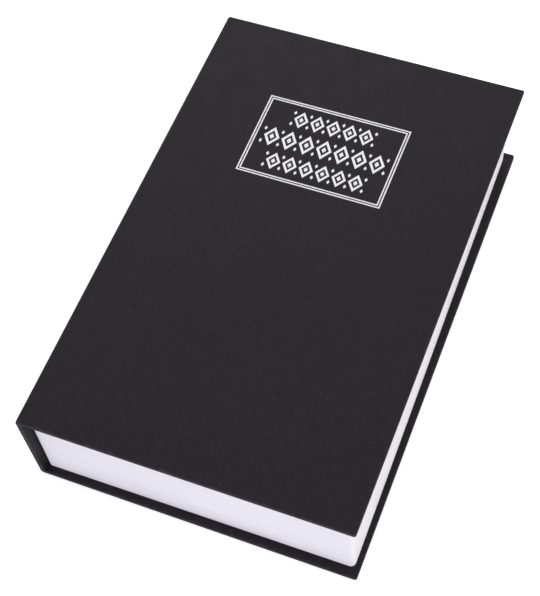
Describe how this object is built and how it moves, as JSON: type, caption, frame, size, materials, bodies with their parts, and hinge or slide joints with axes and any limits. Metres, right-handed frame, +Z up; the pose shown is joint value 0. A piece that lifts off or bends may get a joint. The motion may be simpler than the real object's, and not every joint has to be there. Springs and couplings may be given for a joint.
{
  "type": "book diversion safe",
  "caption": "Steel cash box with a hinged lid and cam lock, hidden in a moulded page frame inside a cloth-covered book case that opens like a book.",
  "frame": {"origin": "middle of the back cover's outer face, which lies on the table", "axes": "+X from the spine to the fore-edge, +Y from the foot to the head, +Z up from the back cover to the front cover"},
  "size_m": [0.154, 0.242, 0.053],
  "materials": {
    "book_cloth": "matte black leatherette paper with a fine grain",
    "grey_board": "raw grey binder's board",
    "lining_paper": "smooth black paper",
    "page_plastic": "white moulded plastic with fine lines like page edges",
    "box_steel": "black powder-coated steel sheet",
    "zinc_steel": "zinc-plated steel",
    "lock_chrome": "chrome-plated die-cast zinc",
    "wafer_brass": "stamped brass",
    "key_brass": "nickel-plated brass, lightly worn"
  },
  "bodies": {
    "base": {"back_board": "grey_board", "back_wrap": "book_cloth", "back_lining": "lining_paper", "page_frame": "page_plastic", "steel_box": "box_steel", "lock_strike": "zinc_steel", "box_hinge_leaf": "zinc_steel", "hinge_pin": "zinc_steel", "box_rivet_1": "zinc_steel", "box_rivet_2": "zinc_steel", "box_rivet_3": "zinc_steel", "box_rivet_4": "zinc_steel", "key_1": "key_brass", "key_2": "key_brass"},
    "spine": {"spine_board": "grey_board", "spine_wrap": "book_cloth", "spine_lining": "lining_paper"},
    "front_cover": {"front_board": "grey_board", "front_wrap": "book_cloth", "front_lining": "lining_paper"},
    "lid": {"lid_plate": "box_steel", "lid_hinge_leaf": "zinc_steel", "lid_rivet_1": "zinc_steel", "lid_rivet_2": "zinc_steel", "lid_rivet_3": "zinc_steel", "lid_rivet_4": "zinc_steel", "lock_barrel": "lock_chrome", "lock_washer": "zinc_steel", "lock_nut": "zinc_steel"},
    "lock_core": {"lock_plug": "lock_chrome", "tumbler_wafer_1": "wafer_brass", "tumbler_wafer_2": "wafer_brass", "tumbler_wafer_3": "wafer_brass", "tumbler_wafer_4": "wafer_brass", "tumbler_wafer_5": "wafer_brass", "cam_stop_washer": "zinc_steel", "lock_cam": "zinc_steel", "cam_screw": "zinc_steel"}
  },
  "joints": [
    {"name": "spine_hinge", "type": "hinge", "parent": "base", "child": "spine", "pos_m": [-0.077, 0, 0], "axis": [0, -1, 0], "range_deg": [0, 90]},
    {"name": "cover_hinge", "type": "hinge", "parent": "spine", "child": "front_cover", "pos_m": [-0.077, 0, 0.053], "axis": [0, -1, 0], "range_deg": [0, 90]},
    {"name": "lid_hinge", "type": "hinge", "parent": "base", "child": "lid", "pos_m": [-0.0595, 0, 0.04825], "axis": [0, -1, 0], "range_deg": [0, 100]},
    {"name": "lock_turn", "type": "hinge", "parent": "lid", "child": "lock_core", "pos_m": [0.043, 0, 0.04675], "axis": [0, 0, 1], "range_deg": [0, 90]}
  ],
  "couplings": [
    {"joint": "spine_hinge", "follows": "cover_hinge", "ratio": 1},
    {"joint": "lid_hinge", "follows": "cover_hinge", "ratio": 1.11}
  ]
}
